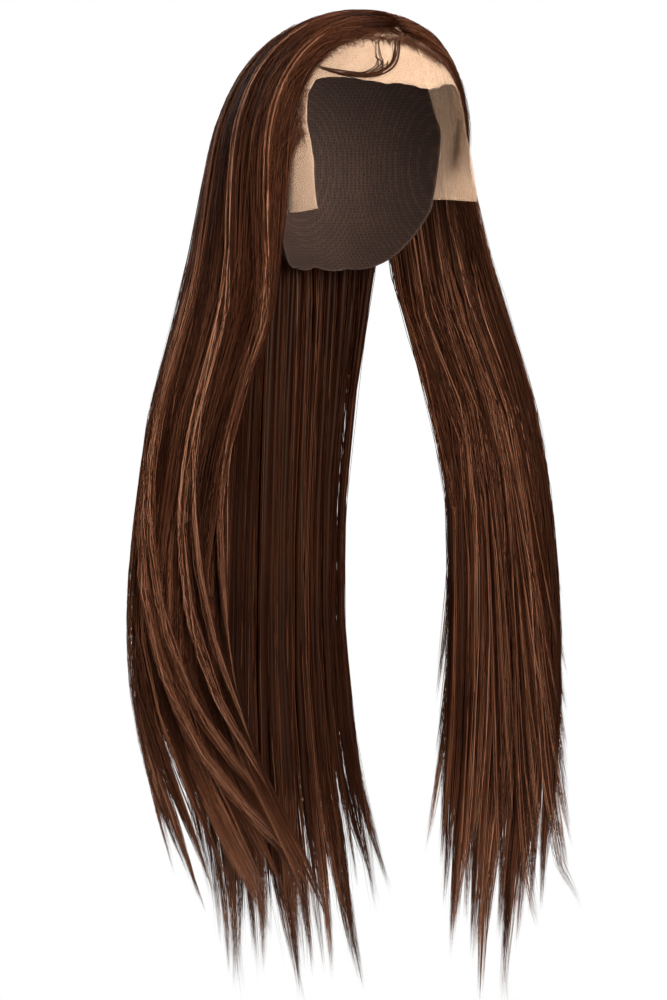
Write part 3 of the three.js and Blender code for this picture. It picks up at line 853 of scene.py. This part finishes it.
def lace_material():
    """Peach hexagon net: three waves at sixty degrees leave round holes between the threads."""
    material, graph, shader = new_material("lace")
    place, map_u, map_v = graph.map_place()
    waves = None
    for turn in (0, 60, 120):
        turned = math.radians(turn)
        u = graph.math("MULTIPLY", map_u, LACE_WAVE * math.cos(turned))
        v = graph.math("MULTIPLY", map_v, LACE_WAVE * math.sin(turned))
        wave = graph.math("COSINE", graph.math("ADD", u, v))
        waves = wave if waves is None else graph.math("ADD", waves, wave)
    thread = graph.add("MapRange", {
        "Value": waves, "From Min": 1.4, "From Max": 0.6, "To Min": 0.04, "To Max": 0.36,
    })
    cloud = graph.add("TexNoise", {"Scale": 30, "Vector": place})
    colour = graph.ramp(cloud.outputs["Fac"], LACE_COLOURS)
    bump = graph.add("Bump", {"Strength": 0.4, "Distance": 0.0003, "Height": thread.outputs["Result"]})
    graph.fill(shader, {
        "Base Color": colour,
        "Alpha": thread.outputs["Result"],
        "Normal": bump.outputs["Normal"],
        "Roughness": 0.8,
    })
    return material


def cap_edge(angle):
    return np.interp(np.abs(angle), CAP_EDGE[:, 0], CAP_EDGE[:, 1])


def quad_grid(grid, maps):
    """A net of quads over points (r, c, 3) with places on the map (r, c, 2), joined round its columns."""
    rows, columns, _ = grid.shape
    index = np.arange(rows * columns).reshape(rows, columns)
    right = np.roll(index, -1, axis=1)
    a, b = index[:-1], right[:-1]
    d, c = index[1:], right[1:]
    faces = np.stack([a, b, c, d], axis=-1).reshape(-1, 4)
    return grid.reshape(-1, 3), (faces, maps.reshape(-1, 2)[faces])


def side_faces(ring, place):
    """Quads that close the end of a flat tube, whose ring runs along one side and back along the other."""
    half = len(ring) // 2
    near, far = ring[:half], ring[:half - 1:-1]
    faces = np.stack([near[1:], near[:-1], far[:-1], far[1:]], axis=-1)
    shift = np.array(LACE_MAP_SIDE)
    maps = np.stack([place[1:], place[:-1], place[:-1] + shift, place[1:] + shift], axis=-2)
    return faces, maps


def lace_piece(material):
    """The lace front: a thin closed sheet from the cap's edge to its own free edge."""
    angle = np.linspace(LACE_EDGE[0, 0], LACE_EDGE[-1, 0], LACE_ALONG + 1)[:, None]
    seam = cap_edge(angle)
    free = np.interp(angle, LACE_EDGE[:, 0], LACE_EDGE[:, 1])
    flare = np.interp(angle, LACE_EDGE[:, 0], LACE_EDGE[:, 2])
    share = np.linspace(0, 1, LACE_COLUMNS)[None, :]
    y = mix(seam, free, share)
    height = LACE_SEAT + flare * share**2
    under = band_point(np.broadcast_to(angle, y.shape), y, height)
    over = band_point(np.broadcast_to(angle, y.shape), y, height + LACE_WALL)
    grid = np.concatenate([over, under[:, ::-1]], axis=1)
    around = np.radians(angle) * HEAD_HALF[0] * np.ones_like(y)
    place = (np.stack([around, y], axis=-1) + LACE_MAP_START) / LACE_MAP
    other = place[:, ::-1] + np.array(LACE_MAP_UNDER)
    shell = Shell()
    points, quads = quad_grid(grid, np.concatenate([place, other], axis=1))
    index = np.arange(len(points)).reshape(grid.shape[:2])
    caps = [side_faces(index[0], place[0]), side_faces(index[-1, ::-1], place[-1])]
    shell.add(points, quads, *caps)
    return shell.make("lace_sheet", material)


def cap_piece(material):
    """The net cap: a thin bowl open at the face and the neck."""
    angle = np.linspace(-180, 180, CAP_AROUND, endpoint=False)[None, :]
    share = np.linspace(0, CAP_LAST_RING, CAP_RINGS)[:, None]
    y = mix(cap_edge(angle), HALF_LENGTH, np.sin(share * np.pi / 2))
    angles = np.broadcast_to(angle, y.shape)
    inner = band_point(angles, y, np.zeros(1))
    outer = band_point(angles, y, np.full(1, CAP_WALL))
    grid = np.concatenate([inner[::-1], outer])
    rows = len(grid)
    map_u, map_v = np.linspace(0, 1, CAP_AROUND)[None, :], np.linspace(0, 1, rows)[:, None]
    maps = np.stack(np.broadcast_arrays(map_u, map_v), axis=-1)
    points, quads = quad_grid(grid, maps)
    first = np.arange(CAP_AROUND)[None, ::-1]
    last = first[:, ::-1] + (rows - 1) * CAP_AROUND
    turn = np.radians(angle)[0]
    disc = 0.5 + CAP_DISC_MAP * np.stack([np.cos(turn), np.sin(turn)], axis=-1)[None]
    shell = Shell()
    shell.add(points, quads, (first, disc), (last, disc))
    return shell.make("cap_bowl", material)


def hairline_y(angle):
    return np.interp(angle, HAIRLINE[:, 0], HAIRLINE[:, 1])


def front_roots(shell, rng, rows, edge, inward, angles, count):
    """Strands rooted on the lace along the hairline between two angles, swept back into the first locks."""
    angle = rng.uniform(*angles, count)[:, None]
    y = hairline_y(angle) + mix(*FRONT_BAND, rng.beta(*FRONT_LEAN, count))[:, None]
    t = np.linspace(0, 1, FRONT_POINTS)[None, :]
    length = rng.uniform(*FRONT_LENGTHS, count)[:, None]
    way = np.abs(angle) / GIRTH_ANGLE + FRONT_AHEAD + length * t
    place = edge + inward * rng.uniform(*FRONT_PLACES, count)[:, None]
    points, outward, depth = hair_surface(rows, np.broadcast_to(place, way.shape), way)
    level = rng.uniform(*FRONT_LEVELS, count)[:, None] - FRONT_SINK * ease(FRONT_SINK_FROM, 1, t)
    swept = points + outward * (depth * level)[..., None]
    root = band_point(angle, y, np.full(1, LACE_TOP))
    leaving = (1 - np.minimum(t / FRONT_OFF_LACE, 1)) ** 2
    paths = mix(swept, root, leaving[..., None])
    size = rng.uniform(*FRONT_SIZES, count)
    tone = rng.uniform(*FRONT_TONES, count)
    add_strands(shell, paths, outward, size, tone, way / 2)


def front_fuzz(shell, rng, angles, count):
    """Short fine hairs that curl off the hairline between two angles toward the face."""
    angle = rng.uniform(*angles, count)[:, None]
    y = hairline_y(angle) + rng.normal(0, FUZZ_SPREAD, count)[:, None]
    t = np.linspace(0, 1, FUZZ_POINTS)[None, :]
    length = rng.uniform(*FUZZ_LENGTHS, count)[:, None]
    leaves = rng.uniform(*FUZZ_TURNS, count)[:, None]
    turn = np.radians(leaves + rng.uniform(*FUZZ_TURNS, count)[:, None] * t)
    sideways = np.degrees(length * np.sin(turn) * t / HEAD_HALF[0])
    rise = LACE_TOP + rng.uniform(*FUZZ_RISES, count)[:, None] * np.sin(FUZZ_ARCH * np.pi * t)
    paths = band_point(angle + sideways, y - length * np.cos(turn) * t, rise)
    size = rng.uniform(*FUZZ_SIZES, count)
    tone = rng.uniform(*FUZZ_TONES, count)
    along = np.broadcast_to(mix(*SHORT_MAP, t), (count, FUZZ_POINTS))
    add_strands(shell, paths, head_normal(paths), size, tone, along)


def forelock(shell, rng, bundles, strands, start, end, aside, size):
    """Thin bundles along the swept forelock: the rows of its table that they start and end at, and how far
    to the hairline's side of it they start."""
    t = np.linspace(0, 1, FORELOCK_POINTS)[None, :]
    count = bundles * strands
    bundle = np.repeat(np.arange(bundles), strands)

    def alike(low, high, loose):
        """A value for each strand, nearly the same within its bundle."""
        own = rng.uniform(-loose, loose, count)
        return (rng.uniform(low, high, bundles)[bundle] + own)[:, None]

    place = mix(alike(*start), alike(*end), t)
    row = smooth_rows(FORELOCK, place.ravel()).reshape(count, -1, 3)
    ahead = smooth_rows(FORELOCK, place.ravel() + STEP).reshape(count, -1, 3)
    lift = LACE_TOP + alike(*FORELOCK_LIFTS) * np.sin(np.pi * np.clip(t, FORELOCK_LOWEST, 1))
    middle = band_point(row[..., 0], row[..., 1], lift)
    heading = unit(band_point(ahead[..., 0], ahead[..., 1], lift) - middle)
    outward = head_normal(middle)
    across = np.cross(heading, outward)
    turns = alike(*FORELOCK_TURNS) * t + alike(*FORELOCK_PHASES)
    wave = FORELOCK_WAVE * np.sin(2 * np.pi * turns)
    off = row[..., 2] * (alike(*FORELOCK_SIDES) + wave)
    off = off + alike(*aside) * (1 - ease(0, FORELOCK_JOINED, t))
    paths = head_point((middle + across * off[..., None] - HEAD_CENTRE) / HEAD_HALF, lift)
    tone = rng.uniform(*FORELOCK_TONES, count)
    along = np.broadcast_to(mix(*SHORT_MAP, t), (count, FORELOCK_POINTS))
    sizes = size * rng.uniform(*FORELOCK_SIZES, count)
    add_strands(shell, paths, outward, sizes, tone, along)


def hairline_piece(material):
    """Short fine hairs along the front edge, the roots of the first strands, and the swept forelock."""
    rng = np.random.default_rng(HAIRLINE_SEED)
    shell = Shell()
    for rows, edge, inward, angles, count in FRONTS:
        front_roots(shell, rng, rows, edge, inward, angles, int(count * STRAND_SHARE))
        front_fuzz(shell, rng, angles, int(count * STRAND_SHARE * FUZZ_SHARE))
    for bundles in FORELOCK_BUNDLES:
        forelock(shell, rng, *bundles)
    return shell.make("hairline", material)


def show_to_camera(graph, lit, seen, output):
    """The camera sees one shader, an even white, while light falls on the other."""
    ray = graph.nodes.new("ShaderNodeLightPath")
    chosen = graph.add("MixShader", {
        "Fac": ray.outputs["Is Camera Ray"], 1: lit.outputs[0], 2: seen.outputs[0],
    })
    graph.fill(graph.nodes[output], {"Surface": chosen.outputs[0]})


def build_floor():
    """A pale round floor under the ends of the hair."""
    mesh = bpy.data.meshes.new("floor")
    turns = [2 * math.pi * k / FLOOR_SIDES for k in range(FLOOR_SIDES)]
    rim = [(FLOOR_RADIUS * math.cos(a), FLOOR_RADIUS * math.sin(a), FLOOR_LEVEL) for a in turns]
    mesh.from_pydata(rim, [], [list(range(FLOOR_SIDES))])
    material, graph, shader = new_material("floor")
    graph.fill(shader, {"Base Color": FLOOR_COLOUR, "Roughness": 0.9})
    seen = graph.nodes.new("ShaderNodeEmission")
    show_to_camera(graph, shader, seen, "Material Output")
    mesh.materials.append(material)
    floor = add_object("floor", mesh)


def aim(name, data, azimuth, elevation, distance, target):
    """A camera or lamp at a place round the wig, turned to a target."""
    a, e = math.radians(azimuth), math.radians(elevation)
    back = Vector((math.sin(a) * math.cos(e), -math.cos(a) * math.cos(e), math.sin(e)))
    piece = add_object(name, data)
    piece.location = target + back * distance
    piece.rotation_mode = "QUATERNION"
    piece.rotation_quaternion = (-back).to_track_quat("-Z", "Y")
    return piece


def build_camera():
    data = bpy.data.cameras.new("camera")
    data.sensor_width = VIEW_SENSOR
    data.lens = VIEW_SENSOR / 2 * VIEW_DISTANCE / VIEW_HALF_HEIGHT
    turn = math.radians(VIEW_AZIMUTH)
    target = Vector((math.cos(turn), math.sin(turn), 0)) * VIEW_ASIDE + Vector((0, 0, VIEW_LEVEL))
    bpy.context.scene.camera = aim("camera", data, VIEW_AZIMUTH, VIEW_ELEVATION, VIEW_DISTANCE, target)


def build_lights():
    centre = Vector((0, 0, VIEW_LEVEL))
    for name, azimuth, elevation, distance, size, watts in LIGHTS:
        data = bpy.data.lights.new(name, "AREA")
        data.size = size
        data.energy = watts
        aim(name, data, azimuth, elevation, distance, centre)


def build_world():
    """White studio walls: bright behind the wig, and dimmer as a light on it."""
    world = bpy.data.worlds.new("studio")
    graph = Graph(world)
    seen = graph.nodes["Background"]
    graph.fill(seen, {"Color": WHITE})
    lit = graph.add("Background", {"Color": WHITE, "Strength": AMBIENT})
    show_to_camera(graph, lit, seen, "World Output")
    bpy.context.scene.world = world
    bpy.context.scene.view_settings.view_transform = "Standard"


def build_hair(material):
    """Each lock as a piece of its own, in the place of its solid."""
    for group, row in enumerate(LOCKS):
        for k in range(row.locks):
            rng = np.random.default_rng(SEED + LOCK_SEEDS * group + k)
            lock = Lock(row, k, rng)
            shell = Shell()
            lock.add_hairs(shell, rng)
            lock.add_cores(shell)
            piece = shell.make(f"hair_{row.side}_{k + 1}", material)
            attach(piece, "root")
            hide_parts(f"{row.side}_lock_{k + 1}")


def main():
    build_camera()
    build_floor()
    build_lights()
    build_world()
    hair = hair_material()
    build_hair(hair)
    layers = layers_piece(hair)
    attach(layers, "root")
    fringe = hairline_piece(hair)
    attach(fringe, "root")
    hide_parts("baby_hair")
    cap = cap_piece(cap_material())
    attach(cap, "root")
    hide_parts("cap_net")
    lace = lace_piece(lace_material())
    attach(lace, "root")
    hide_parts("lace_front")


main()
